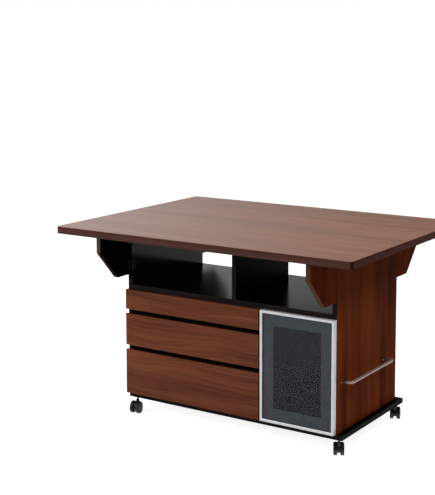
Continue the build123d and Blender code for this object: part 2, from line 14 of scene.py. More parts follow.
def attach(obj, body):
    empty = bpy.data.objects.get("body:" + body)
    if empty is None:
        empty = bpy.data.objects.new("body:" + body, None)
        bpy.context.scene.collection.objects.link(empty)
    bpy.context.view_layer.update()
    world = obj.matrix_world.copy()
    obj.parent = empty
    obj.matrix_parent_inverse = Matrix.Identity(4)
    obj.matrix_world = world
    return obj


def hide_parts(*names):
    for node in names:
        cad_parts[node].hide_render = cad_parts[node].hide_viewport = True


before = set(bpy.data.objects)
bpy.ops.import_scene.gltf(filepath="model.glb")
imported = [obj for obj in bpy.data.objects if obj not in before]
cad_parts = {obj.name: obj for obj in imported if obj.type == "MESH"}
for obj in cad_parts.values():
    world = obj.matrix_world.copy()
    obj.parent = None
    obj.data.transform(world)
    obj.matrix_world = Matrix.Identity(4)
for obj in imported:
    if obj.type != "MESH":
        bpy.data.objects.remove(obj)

LOG = logging.getLogger("counter")
Colour = tuple[float, float, float]
Place = tuple[float, float, float]
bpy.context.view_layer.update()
WHITE = (1.0, 1.0, 1.0, 1.0)
# the span that most values of a noise lie in
NOISE = (0.3, 0.7)
# points closer than the first length become one, and faces thinner than the second go
WELD, SLIVER = 1e-7, 1e-8


class Axis(Enum):
    """The three directions of the frame, by their place in a coordinate."""

    X = 0
    Y = 1
    Z = 2


def linear(red: int, green: int, blue: int) -> Colour:
    """Turns 8-bit display values into the linear values that a shader takes.

    Args:
        red: Red, 0 to 255.
        green: Green, 0 to 255.
        blue: Blue, 0 to 255.

    Returns:
        The three linear values, 0 to 1.
    """
    def one(value: int) -> float:
        """The inverse of the display curve for one channel."""
        c = value / 255
        return c / 12.92 if c <= 0.04045 else ((c + 0.055) / 1.055) ** 2.4

    return one(red), one(green), one(blue)


@dataclass
class Shell:
    """The points of one closed surface and the faces between them."""

    points: np.ndarray
    faces: list[tuple[int, ...]]


def quads(rows: int, columns: int, wrap_rows: bool, wrap_columns: bool) -> list[tuple[int, ...]]:
    """Lists the four-sided faces between neighbouring rows and columns of a grid.

    Args:
        rows: Number of rows.
        columns: Number of columns.
        wrap_rows: Whether the last row joins the first one.
        wrap_columns: Whether the last column joins the first one.

    Returns:
        Four point numbers for each face.
    """
    row = np.arange(rows if wrap_rows else rows - 1)[:, None]
    column = np.arange(columns if wrap_columns else columns - 1)[None, :]
    below, beside = (row + 1) % rows, (column + 1) % columns
    upper, lower = row * columns, below * columns
    corners = np.broadcast_arrays(upper + column, upper + beside, lower + beside, lower + column)
    return [tuple(face) for face in np.stack(corners, axis=-1).reshape(-1, 4).tolist()]


def rounded(corners: np.ndarray, radius: float, steps: int = 5) -> np.ndarray:
    """Rounds a closed outline's corners.

    Each corner C gives way to the curve (1-t)(1-t) A + 2t(1-t) C + t t B, where A and B lie one radius
    away from it on its two sides.

    Args:
        corners: Corner points, one row each.
        radius: How far from the corner the curve starts.
        steps: Points on each curve.

    Returns:
        The outline's points, one row each.
    """
    def start(others: np.ndarray) -> np.ndarray:
        """The points one radius from the corners towards their neighbours."""
        way = others - corners
        length = np.linalg.norm(way, axis=1, keepdims=True)
        return corners + way / length * np.minimum(radius, 0.45 * length)

    t = np.linspace(0, 1, steps)[None, :, None]
    first, last = start(np.roll(corners, 1, axis=0))[:, None], start(np.roll(corners, -1, axis=0))[:, None]
    curve = (1 - t) ** 2 * first + 2 * t * (1 - t) * corners[:, None] + t**2 * last
    return curve.reshape(-1, corners.shape[1])


def square_to(axis: np.ndarray) -> tuple[np.ndarray, np.ndarray]:
    """Two directions, each one long, at right angles to an axis and to each other."""
    first = np.cross(axis, (0.0, 0.0, 1.0) if abs(axis[2]) < 0.9 else (1.0, 0.0, 0.0))
    first = first / np.linalg.norm(first)
    return first, np.cross(axis, first)


def turned(outline: np.ndarray, centre: np.ndarray, axis: np.ndarray, steps: int) -> Shell:
    """Turns a closed outline about an axis.

    The point at radius r and height h goes to centre + h axis + r (cos t first + sin t second), for angles
    t round the whole turn.

    Args:
        outline: Radius and height of each point.
        centre: A point on the axis.
        axis: The axis, one long.
        steps: Points round the turn.

    Returns:
        The closed surface.
    """
    first, second = square_to(axis)
    t = np.linspace(0, 2 * np.pi, steps, endpoint=False)[:, None, None]
    radius, height = outline[None, :, :1], outline[None, :, 1:]
    points = centre + height * axis + radius * (np.cos(t) * first + np.sin(t) * second)
    return Shell(points.reshape(-1, 3), quads(steps, len(outline), True, True))


def carried(outline: np.ndarray, path: np.ndarray, side: np.ndarray, up: np.ndarray) -> Shell:
    """Carries a closed outline along a path and closes both ends.

    The point (a, b) goes to path + a side + b up, at each place of the path.

    Args:
        outline: Two numbers for each point, or one such list for each place.
        path: The path's places, one row each.
        side: The outline's first direction at each place.
        up: The outline's second direction at each place.

    Returns:
        The closed surface.
    """
    outline = np.broadcast_to(outline, (len(path),) + outline.shape[-2:])
    points = path[:, None] + outline[..., :1] * side[:, None] + outline[..., 1:] * up[:, None]
    around = outline.shape[1]
    faces = quads(len(path), around, False, True)
    faces += [tuple(range(around)), tuple(range(len(path) * around - around, len(path) * around))]
    return Shell(points.reshape(-1, 3), faces)


def make(
    name: str,
    shells: Sequence[Shell],
    body: str,
    material: bpy.types.Material,
    stands_for: Sequence[str] = (),
    crease: float = 35.0,
) -> bpy.types.Object:
    """Turns surfaces into one piece that rides on a body.

    Args:
        name: The piece's name.
        shells: Its closed surfaces.
        body: The body that carries it.
        material: Its material.
        stands_for: The nodes that it replaces.
        crease: Edges that turn by more degrees than this stay sharp.

    Returns:
        The piece's object.
    """
    starts = np.cumsum([0] + [len(shell.points) for shell in shells])
    faces = [
        tuple(i + int(start) for i in face) for shell, start in zip(shells, starts) for face in shell.faces
    ]
    mesh = bpy.data.meshes.new(name)
    mesh.from_pydata(np.concatenate([shell.points for shell in shells]), [], faces)
    raw = bmesh.new()
    raw.from_mesh(mesh)
    bmesh.ops.remove_doubles(raw, verts=raw.verts, dist=WELD)
    bmesh.ops.dissolve_degenerate(raw, edges=raw.edges, dist=SLIVER)
    bmesh.ops.recalc_face_normals(raw, faces=raw.faces)
    raw.to_mesh(mesh)
    raw.free()
    mesh.shade_smooth()
    mesh.set_sharp_from_angle(angle=math.radians(crease))
    mesh.materials.append(material)
    piece = bpy.data.objects.new(name, mesh)
    bpy.context.scene.collection.objects.link(piece)
    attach(piece, body)
    if stands_for:
        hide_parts(*stands_for)
    LOG.info("%s: %d faces on %s", name, len(mesh.polygons), body)
    return piece


def shades(colour: Colour, spread: float) -> tuple[Colour, Colour]:
    """A darker and a lighter shade of a colour, each by that share."""
    return tuple(c * (1 - spread) for c in colour), tuple(min(c * (1 + spread), 1.0) for c in colour)


class Recipe:
    """A material under construction: each call adds one node, or a few, and wires its inputs."""

    def __init__(self, owner: Any) -> None:
        """Starts with the empty node tree of a new material or of a world.

        Args:
            owner: The name of a material to make, or a world.
        """
        self.material = bpy.data.materials.new(owner) if isinstance(owner, str) else owner
        self.material.use_nodes = True
        self.tree = self.material.node_tree
        self.tree.nodes.clear()
        self.coords = self.tree.nodes.new("ShaderNodeTexCoord").outputs
        self.spot = self.coords["Object"]

    def add(self, kind: str, inputs: Optional[dict[Any, Any]] = None, **settings: Any) -> bpy.types.Node:
        """Adds a node.

        Args:
            kind: The node's type without its ShaderNode prefix.
            inputs: Input name or number to a value or another node's output.
            settings: Properties of the node itself.

        Returns:
            The new node.
        """
        node = self.tree.nodes.new("ShaderNode" + kind)
        for key, value in settings.items():
            setattr(node, key, value)
        for key, value in (inputs or {}).items():
            socket = node.inputs[key]
            if isinstance(value, bpy.types.NodeSocket):
                self.tree.links.new(value, socket)
            else:
                socket.default_value = value
        return node

    def maths(self, operation: str, first: Any, second: Any = 0.0) -> bpy.types.NodeSocket:
        """The output of a Math node with that operation and those inputs."""
        return self.add("Math", {0: first, 1: second}, operation=operation).outputs[0]

    def parts(self, source: str) -> Any:
        """The three numbers of a texture coordinate: Object is the place, Normal the way a face looks."""
        return self.add("SeparateXYZ", {0: self.coords[source]}).outputs

    def vector(self, operation: str, first: Any, second: Any) -> bpy.types.NodeSocket:
        """The output of a Vector Math node with that operation and those inputs."""
        return self.add("VectorMath", {0: first, 1: second}, operation=operation).outputs[0]

    def noise(
        self, vector: Any, scale: float = 1.0, detail: float = 3.0, roughness: float = 0.5
    ) -> bpy.types.NodeSocket:
        """The value of a Noise Texture of that scale over a vector."""
        inputs = {"Vector": vector, "Scale": scale, "Detail": detail, "Roughness": roughness}
        return self.add("TexNoise", inputs).outputs["Fac"]

    def ramp(self, value: Any, stops: Sequence[tuple[float, Colour]]) -> bpy.types.NodeSocket:
        """The colour that a value takes between the stops of a ramp."""
        node = self.add("ValToRGB", {0: value})
        marks = node.color_ramp.elements
        while len(marks) < len(stops):
            marks.new(0.5)
        for mark, (place, colour) in zip(marks, stops):
            mark.position = place
            mark.color = (*colour, 1.0)
        return node.outputs[0]

    def tones(
        self, value: Any, colour: Colour, spread: float, span: tuple[float, float] = NOISE
    ) -> bpy.types.NodeSocket:
        """The shades of a colour, from the darker one at the span's start to the lighter one at its end."""
        return self.ramp(value, tuple(zip(span, shades(colour, spread))))

    def levels(
        self, value: Any, low: float, high: float, out_low: float = 0.0, out_high: float = 1.0
    ) -> bpy.types.NodeSocket:
        """Maps a value from one range into another and clamps it there."""
        inputs = {"Value": value, "From Min": low, "From Max": high, "To Min": out_low, "To Max": out_high}
        return self.add("MapRange", inputs).outputs[0]

    def uneven(self, value: Any, middle: float, below: float, above: float) -> bpy.types.NodeSocket:
        """A number that a noise moves from so much below a middle one to so much above it."""
        return self.levels(value, *NOISE, middle - below, middle + above)

    def blend(self, share: Any, first: Any, second: Any, mode: str = "MIX") -> bpy.types.NodeSocket:
        """Mixes two colours."""
        return self.add("MixRGB", {0: share, 1: first, 2: second}, blend_type=mode).outputs[0]

    def finish(self, inputs: dict[str, Any], bump: Any = None, depth: float = 0.0) -> bpy.types.Material:
        """Adds the surface shader and ends the material.

        Args:
            inputs: Inputs of the surface shader.
            bump: A height to raise the surface by, or None.
            depth: The bump's height in metres.

        Returns:
            The finished material.
        """
        if bump is not None:
            raised = self.add("Bump", {"Height": bump, "Distance": depth, "Strength": 1.0})
            inputs = {**inputs, "Normal": raised.outputs[0]}
        self.add("OutputMaterial", {"Surface": self.add("BsdfPrincipled", inputs).outputs[0]})
        return self.material


@dataclass(frozen=True)
class BlackBoard:
    """Black laminate with a fine pebbled skin and greyer bands at front and rear.

    polish is how much clear gloss lies on its upper face. clouds and pebbles are how many of either fill a
    metre, and depth is the height of the pebbles.
    """

    name: str
    roughness: float
    gloss: float = 0.01
    colour: Colour = linear(7, 7, 8)
    edge: Colour = linear(37, 32, 32)
    polish: float = 0.0
    polish_roughness: float = 0.2
    polish_ior: float = 1.5
    spread: float = 0.25
    clouds: float = 9.0
    pebbles: float = 900.0
    depth: float = 0.000012

    def build(self) -> bpy.types.Material:
        """Makes the material: a near-black ground, cloudy gloss, fine pebbles and polish on what faces up."""
        r = Recipe(self.name)
        cloud = r.noise(r.spot, self.clouds, 4.0, 0.6)
        facing = r.parts("Normal")
        ground, edge = (r.tones(cloud, colour, self.spread) for colour in (self.colour, self.edge))
        inputs = {
            "Base Color": r.blend(r.levels(r.maths("ABSOLUTE", facing[1]), 0.4, 0.8), ground, edge),
            "Roughness": r.uneven(cloud, self.roughness, 0.04, 0.05),
            "Specular IOR Level": self.gloss,
        }
        if self.polish:
            inputs["Coat Weight"] = r.levels(facing[2], 0.5, 0.9, 0.0, self.polish)
            inputs |= {"Coat Roughness": self.polish_roughness, "Coat IOR": self.polish_ior}
        return r.finish(inputs, r.noise(r.spot, self.pebbles, 2.0), self.depth)


@dataclass(frozen=True)
class Walnut:
    """Walnut laminate with its edge bands. The grain runs along one axis, and along the second one on ends.

    shift moves the pattern across the grain, fineness narrows it, and broad is the share of its wide bands.
    face names the way that the board faces, band is the colour of its edge bands, and painted_end_shading the
    colour of the bands across the grain: a painted shade where it is darker than band and a painted light
    where it is lighter. painted_shade_heights gives the heights between which the bands turn darker and more
    red by painted_shade_tint, a painted shade on their upper part. lacquer is how much clear lacquer lies on
    faces that don't look down, and band_lacquer how much lies on bands along the grain.
    black_side is the sign of X towards the face that is black, black_from the X where that face begins, and
    black_lacquer how much lacquer lies on it. flat is how squarely a face must look along an axis to count
    as one that faces that way, sway how far the grain wanders and relief how deep its pores are.
    """

    name: str
    grain: Axis
    end_grain: Axis
    light: Colour = linear(137, 80, 55)
    middle: Colour = linear(114, 64, 45)
    dark: Colour = linear(84, 46, 34)
    roughness: float = 0.42
    gloss: float = 0.04
    shift: float = 0.0
    fineness: float = 1.0
    broad: float = 0.6
    face: Axis = Axis.Z
    band: Optional[Colour] = None
    # painted shading of the end bands, and the heights and tint of a painted shade on the bands' upper part
    painted_end_shading: Optional[Colour] = None
    painted_shade_heights: Optional[tuple[float, float]] = None
    painted_shade_tint: Colour = (0.95, 0.68, 0.6)
    lacquer: float = 0.0
    band_lacquer: float = 0.0
    coat_roughness: float = 0.34
    coat_ior: float = 1.7
    black_side: int = 0
    black_from: float = 0.0
    black: Colour = linear(8, 8, 9)
    black_edge: Colour = linear(37, 31, 31)
    black_lacquer: float = 0.0
    flat: float = 0.7
    sway: float = 0.09
    relief: float = 0.00004

    def _place(self, r: Recipe) -> bpy.types.NodeSocket:
        """The place as along, across and into the grain, turned on ends, where the grain would run out."""
        place, facing = r.parts("Object"), r.parts("Normal")
        end = r.maths("GREATER_THAN", r.maths("ABSOLUTE", facing[self.grain.value]), self.flat)
        rest = r.maths("SUBTRACT", 1.0, end)
        first, second = place[self.grain.value], place[self.end_grain.value]
        third = place[3 - self.grain.value - self.end_grain.value]
        along = r.maths("ADD", r.maths("MULTIPLY", first, rest), r.maths("MULTIPLY", second, end))
        across = r.maths("ADD", r.maths("MULTIPLY", second, rest), r.maths("MULTIPLY", first, end))
        return r.add("CombineXYZ", {0: along, 1: r.maths("ADD", across, self.shift), 2: third}).outputs[0]

    def _layers(self, r: Recipe) -> list[bpy.types.NodeSocket]:
        """The four layers of the pattern, on a grain that sways: bands, streaks, tint and fibres.

        Each is a noise with so many waves a metre along the grain and so many across it.
        """
        place = self._place(r)
        drift = r.noise(r.vector("MULTIPLY", place, (1.6, 4.0, 4.0)), detail=2.0)
        sway = r.add("CombineXYZ", {1: r.maths("MULTIPLY", drift, self.sway)}).outputs[0]
        bent = r.vector("ADD", place, sway)
        bands = (1.0, 17.0 * self.fineness, 3.0, 0.5)
        streaks = (3.0, 95.0 * self.fineness, 4.0, 0.55)
        tint = (1.5, 30.0 * self.fineness, 2.0, 0.5)
        fibres = (14.0, 700.0, 2.0, 0.5)
        return [
            r.noise(r.vector("MULTIPLY", bent, (along, across, across)), 1.0, detail, roughness)
            for along, across, detail, roughness in (bands, streaks, tint, fibres)
        ]

    def build(self) -> bpy.types.Material:
        """Makes the material: wandering bands, fine streaks, short pores, edge bands and the black face."""
        r = Recipe(self.name)
        bands, streaks, tint, fibres = self._layers(r)
        wide, fine = r.maths("MULTIPLY", bands, self.broad), r.maths("MULTIPLY", streaks, 1 - self.broad)
        mixed = r.maths("ADD", wide, fine)
        wood = r.ramp(mixed, ((0.34, self.dark), (0.49, self.middle), (0.64, self.light)))
        warm = r.ramp(tint, ((0.35, (1.0, 0.94, 0.94)), (0.65, (0.97, 1.0, 0.95))))
        pores = r.ramp(fibres, ((0.30, (0.80, 0.78, 0.78)), (0.45, (1.0, 1.0, 1.0))))
        wood = r.blend(1.0, r.blend(1.0, wood, warm, "MULTIPLY"), pores, "MULTIPLY")
        lacquer: Any = self.lacquer
        facing = r.parts("Normal")
        if self.band:
            on_edge = r.levels(r.maths("ABSOLUTE", facing[self.face.value]), 0.35, 0.75, 1.0, 0.0)
            on_end = r.levels(r.maths("ABSOLUTE", facing[self.grain.value]), 0.35, 0.75)
            # painted shading: bands across the grain take a colour of their own, set darker than band for
            # painted shade and lighter for painted light
            colours = (self.band, self.painted_end_shading or self.band)
            band = r.blend(on_end, *(r.tones(streaks, colour, 0.16, (0.35, 0.65)) for colour in colours))
            # painted shade: above the given heights the bands turn darker and more red
            if self.painted_shade_heights:
                red = r.blend(1.0, band, (*self.painted_shade_tint, 1.0), "MULTIPLY")
                band = r.blend(r.levels(r.parts("Object")[2], *self.painted_shade_heights), band, red)
            wood = r.blend(on_edge, wood, band)
            lacquer = r.levels(on_edge, 0.0, 1.0, self.lacquer, self.band_lacquer)
            lacquer = r.maths("MULTIPLY", lacquer, r.maths("SUBTRACT", 1.0, on_end))
            lacquer = r.maths("MULTIPLY", lacquer, r.levels(facing[2], -0.7, -0.35))
        if self.black_side:
            across = r.maths("MULTIPLY", r.parts("Object")[0], float(self.black_side))
            inner = r.maths("GREATER_THAN", across, self.black_from * self.black_side)
            sideways = r.maths("ABSOLUTE", facing[0])
            wood = r.blend(inner, wood, r.ramp(sideways, ((0.3, self.black_edge), (0.7, self.black))))
            skin = r.maths("MULTIPLY", inner, r.maths("GREATER_THAN", sideways, self.flat))
            lacquer = r.maths("MAXIMUM", lacquer, r.maths("MULTIPLY", skin, self.black_lacquer))
        inputs = {
            "Base Color": wood,
            "Roughness": r.uneven(streaks, self.roughness, 0.04, 0.06),
            "Specular IOR Level": self.gloss,
            "Coat Weight": lacquer,
            "Coat Roughness": self.coat_roughness,
            "Coat IOR": self.coat_ior,
        }
        height = r.maths("ADD", r.maths("MULTIPLY", fibres, 0.6), r.maths("MULTIPLY", streaks, 0.4))
        return r.finish(inputs, height, self.relief)


UPRIGHT = Walnut(
    "upright_walnut",
    Axis.Z,
    Axis.Y,
    light=linear(140, 66, 28),
    middle=linear(112, 48, 19),
    dark=linear(76, 30, 11),
    fineness=0.75,
    broad=0.8,
)


@dataclass(frozen=True)
class Metal:
    """Satin metal with hairlines along one axis.

    near is a painted shade and reflection of the panel nearby, which it has up to the first X of span and
    loses by the second. across and along are how many waves the hairlines have in a metre, and clouds how
    many the colour has.
    """

    name: str
    colour: Colour
    roughness: float = 0.3
    lines: Axis = Axis.Z
    spread: float = 0.05
    metallic: float = 1.0
    near: Optional[Colour] = None
    span: tuple[float, float] = (0.0, 1.0)
    across: float = 1600.0
    along: float = 12.0
    clouds: float = 30.0
    relief: float = 0.00001

    def build(self) -> bpy.types.Material:
        """Makes the material: hairlines in gloss and height, and a faint cloud in the colour."""
        r = Recipe(self.name)
        scale = [self.across] * 3
        scale[self.lines.value] = self.along
        hair = r.noise(r.vector("MULTIPLY", r.spot, scale), detail=2.0)
        cloud = r.noise(r.spot, self.clouds)
        colour = r.tones(cloud, self.colour, self.spread)
        # painted shade and reflection: towards the panel the colour turns to the panel's brown, as the metal
        # would mirror it
        if self.near:
            painted_panel_reflection = r.tones(cloud, self.near, self.spread)
            colour = r.blend(r.levels(r.parts("Object")[0], *self.span), painted_panel_reflection, colour)
        inputs = {
            "Base Color": colour,
            "Metallic": self.metallic,
            "Roughness": r.uneven(hair, self.roughness, 0.05, 0.07),
        }
        return r.finish(inputs, hair, self.relief)


@dataclass(frozen=True)
class SmokedGlass:
    """A dark smoked pane: veil is how much of what lies behind each of its faces stays hidden."""

    name: str = "smoked_glass"
    smoke: Colour = linear(87, 86, 95)
    veil: float = 0.25
    gloss: float = 0.1
    roughness: tuple[float, float] = (0.08, 0.13)

    def build(self) -> bpy.types.Material:
        """Makes the material: a smoky tint, a faint haze in its gloss and an even veil."""
        r = Recipe(self.name)
        haze = r.noise(r.spot, 7.0, 2.0)
        inputs = {
            "Base Color": r.tones(haze, self.smoke, 0.1),
            "Roughness": r.levels(haze, *NOISE, *self.roughness),
            "Specular IOR Level": self.gloss,
            "Alpha": self.veil,
        }
        return r.finish(inputs)


@dataclass(frozen=True)
class Moulded:
    """Plastic, rubber or lacquer: a clouded colour with a set gloss and a fine skin.

    clouds and grain are how many waves the colour and the skin have in a metre, and depth is the skin's
    height.
    """

    name: str
    colour: Colour
    roughness: float = 0.5
    gloss: float = 0.5
    clouds: float = 24.0
    grain: float = 400.0
    depth: float = 0.00004
    spread: float = 0.12

    def build(self) -> bpy.types.Material:
        """Makes the material: a clouded colour, an uneven gloss and a fine skin."""
        r = Recipe(self.name)
        skin = r.noise(r.spot, self.grain, 2.0)
        inputs = {
            "Base Color": r.tones(r.noise(r.spot, self.clouds, 4.0, 0.6), self.colour, self.spread),
            "Roughness": r.uneven(skin, self.roughness, 0.05, 0.06),
            "Specular IOR Level": self.gloss,
        }
        return r.finish(inputs, skin, self.depth)


def dress(material: bpy.types.Material, nodes: Sequence[str]) -> None:
    """Puts one material on several solids of the frame."""
    for name in nodes:
        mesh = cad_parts[name].data
        mesh.materials.clear()
        mesh.materials.append(material)
        LOG.info("%s wears %s", name, material.name)


class Level(Enum):
    """The three drawers, from the top down."""

    TOP = "top"
    MIDDLE = "middle"
    BOTTOM = "bottom"


class Corner(Enum):
    """The four corners: name, sign of X and sign of Y."""

    FRONT_LEFT = ("front_left", -1, -1)
    FRONT_RIGHT = ("front_right", 1, -1)
    REAR_LEFT = ("rear_left", -1, 1)
    REAR_RIGHT = ("rear_right", 1, 1)

    @property
    def label(self) -> str:
        """The corner's name as the nodes use it."""
        return self.value[0]


@dataclass
class Screws:
    """Countersunk screw heads of one size, each with a cross recess."""

    radius: float = 0.0034
    crown: float = 0.0006
    recess: float = 0.0006
    arm: float = 0.00055
    arm_reach: float = 0.7
    seat: float = 0.0002
    shares: tuple[float, ...] = (0.0, 0.12, 0.25, 0.5, 0.68, 0.76, 0.9, 1.0, 1.0, 0.0)
    steps: int = 24

    def head(self, place: Sequence[float], way: Sequence[float]) -> Shell:
        """Builds one head.

        Over the circle of radius R the height at (x, y) is seat + crown (1 - r r / R R), less the recess
        where the smaller of |x| and |y| is under the arm's half width and r is under the arm's reach times R.
        A flat disc one seat below the board's face closes it. shares holds r / R for the rings of points.

        Args:
            place: The point of the board or plate that it sits on.
            way: The way that it faces, one long.

        Returns:
            The closed surface.
        """
        normal = np.array(way, float)
        first, second = square_to(normal)
        share = np.array(self.shares)[None, :]
        t = np.linspace(0, 2 * np.pi, self.steps, endpoint=False)[:, None]
        x, y = share * self.radius * np.cos(t), share * self.radius * np.sin(t)
        arm = (np.minimum(np.abs(x), np.abs(y)) < self.arm) & (share < self.arm_reach)
        height = self.seat + self.crown * (1 - share**2) - self.recess * arm
        height[:, -2:] = -self.seat
        points = np.array(place) + x[..., None] * first + y[..., None] * second + height[..., None] * normal
        return Shell(points.reshape(-1, 3), quads(self.steps, len(self.shares), True, False))


@dataclass
class Tabletop:
    """The centre board and two drop leaves, with their hinges and angle brackets."""

    underside: float = 0.82
    seam: float = 0.2995
    plate_middle: float = 0.013
    hinge_places: tuple[float, ...] = (-0.22, 0.0, 0.22)
    hinge_half: float = 0.024
    bracket_reach: float = 0.018
    bracket_half: float = 0.008
    panel_face: float = 0.49
    bracket_y: float = 0.163
    metal: float = 0.002
    walnut: Walnut = Walnut(
        "top_walnut",
        Axis.X,
        Axis.Y,
        light=linear(150, 93, 58),
        middle=linear(131, 79, 49),
        dark=linear(109, 62, 38),
        gloss=0.02,
        band=linear(76, 46, 38),
        # painted shade: end bands darker and more red, and the upper part of every band darker above these
        # heights
        painted_end_shading=linear(66, 22, 8),
        painted_shade_heights=(0.836, 0.843),
        lacquer=1.0,
        band_lacquer=0.1,
    )

    def build(self, zinc: bpy.types.Material, black_steel: bpy.types.Material) -> None:
        """Dresses boards, plates and brackets, and adds the screws.

        Args:
            zinc: Finish of hinges and screws.
            black_steel: Finish of the angle brackets.
        """
        dress(self.walnut.build(), ("tabletop_center", "front_leaf", "rear_leaf"))
        dress(zinc, ("leaf_hinge_fixed_plates", "leaf_hinge_pins"))
        dress(zinc, ("front_leaf_hinge_plates", "rear_leaf_hinge_plates"))
        dress(black_steel, ("tabletop_angle_brackets",))
        screws = Screws()
        below = self.underside - self.metal
        for body, signs, gap in (("carcass", (-1, 1), -1), ("front_leaf", (-1,), 1), ("rear_leaf", (1,), 1)):
            heads = [
                screws.head((x + step, sign * (self.seam + gap * self.plate_middle), below), (0, 0, -1))
                for sign in signs
                for x in self.hinge_places
                for step in (-self.hinge_half, 0.0, self.hinge_half)
            ]
            make(body + "_hinge_screws", heads, body, zinc)
        heads = []
        ways = (-1, 1)
        for side in ways:
            flat_x = side * (self.panel_face - self.bracket_reach)
            upright_x = side * (self.panel_face - self.metal)
            for y in (way * self.bracket_y + step * self.bracket_half for way in ways for step in ways):
                heads.append(screws.head((flat_x, y, below), (0, 0, -1)))
                heads.append(screws.head((upright_x, y, self.underside - self.bracket_reach), (-side, 0, 0)))
        make("bracket_screws", heads, "carcass", zinc)


@dataclass
class Carcass:
    """Side panels, black boards, runners and shelf hardware."""

    upright: Walnut = UPRIGHT
    panel_skin: float = 0.5095
    shift: float = 0.2

    def build(self, black: bpy.types.Material, zinc: bpy.types.Material) -> None:
        """Dresses the carcass.

        Args:
            black: Finish of the inner boards.
            zinc: Finish of the metal parts.
        """
        dress(BlackBoard("deck_laminate", 0.4, polish=0.7).build(), ("deck_board",))
        for hand, sign in (("left", 1), ("right", -1)):
            name = "side_panel_" + hand
            finish = replace(
                self.upright,
                name=name + "_walnut",
                shift=self.shift * sign,
                gloss=0.004,
                coat_roughness=0.14,
                black_side=sign,
                black_from=-self.panel_skin * sign,
                black_lacquer=0.18,
            )
            dress(finish.build(), (name,))
        dress(black, ("base_board", "upper_partition", "lower_partition", "back_panel", "inner_shelf"))
        rail = BlackBoard("rail_laminate", 0.4, edge=linear(19, 12, 9))
        dress(rail.build(), ("upper_drawer_rail", "lower_drawer_rail"))
        dress(zinc, ("runners_fixed", "door_hinge_arms", "shelf_pins"))


@dataclass
class Wings:
    """The four folding brackets under the leaves, with their hinges.

    looks holds each side's edge band, its painted end shading and the lacquer on its bands, by the sign of X:
    the end bands are a painted shade on the left and a painted light on the right.
    """

    upright: Walnut = UPRIGHT
    shift: float = 0.2
    looks: dict[int, tuple[Colour, Colour, float]] = field(
        default_factory=lambda: {
            # end bands: painted shade on the left wings, painted light on the right wings
            -1: (linear(70, 42, 34), linear(48, 32, 27), 0.3),
            1: (linear(78, 44, 32), linear(124, 84, 70), 0.12),
        }
    )
    skin: float = 0.4905
    panel_face: float = 0.49
    pivot_y: float = 0.274
    plate_middle: float = 0.013
    hinge_bottoms: tuple[float, ...] = (0.639, 0.7575)
    screw_steps: tuple[float, ...] = (0.008, 0.04)
    screws: Screws = field(default_factory=lambda: Screws(radius=0.003))
    metal: float = 0.002

    def _heads(self, side: int, y: float) -> list[Shell]:
        """The screw heads on one plate of each hinge, at that Y of the board on that side."""
        x = side * (self.panel_face - self.metal)
        heights = [bottom + step for bottom in self.hinge_bottoms for step in self.screw_steps]
        return [self.screws.head((x, y, z), (-side, 0, 0)) for z in heights]

    def build(self, steel: bpy.types.Material) -> None:
        """Dresses the brackets and plates and adds the screws.

        Args:
            steel: Finish of hinges and screws.
        """
        dress(steel, ("wing_hinge_fixed_plates", "wing_hinge_pins"))
        dress(steel, ["wing_hinge_plates_" + corner.label for corner in Corner])
        fixed: list[Shell] = []
        for corner in Corner:
            label, side, way = corner.value
            band, painted_end_shading, lacquer = self.looks[side]
            finish = replace(
                self.upright,
                name="wing_walnut_" + label,
                shift=-self.shift * side,
                gloss=0.003,
                face=Axis.X,
                band=band,
                painted_end_shading=painted_end_shading,
                band_lacquer=lacquer,
                black_side=-side,
                black_from=self.skin * side,
            )
            dress(finish.build(), ("support_wing_" + label,))
            fixed += self._heads(side, way * (self.pivot_y - self.plate_middle))
            moving = self._heads(side, way * (self.pivot_y + self.plate_middle))
            make("wing_screws_" + label, moving, "wing_" + label, steel)
        make("panel_hinge_screws", fixed, "carcass", steel)


@dataclass
class Drawers:
    """Three drawers: walnut fronts, light boxes and zinc runners."""

    shift_step: float = 0.37
    front: Walnut = Walnut("front_walnut", Axis.X, Axis.Z, face=Axis.Y, band=linear(84, 46, 32))

    def build(self, zinc: bpy.types.Material) -> None:
        """Dresses fronts, boxes, bottoms and runners."""
        box = Moulded("birch_lacquer", linear(196, 176, 146), 0.42).build()
        for i, level in enumerate(Level):
            walnut = replace(self.front, name="front_walnut_" + level.value, shift=self.shift_step * i)
            dress(walnut.build(), ("drawer_front_" + level.value,))
            dress(box, ("drawer_box_" + level.value, "drawer_bottom_" + level.value))
            dress(zinc, ("runners_moving_" + level.value,))


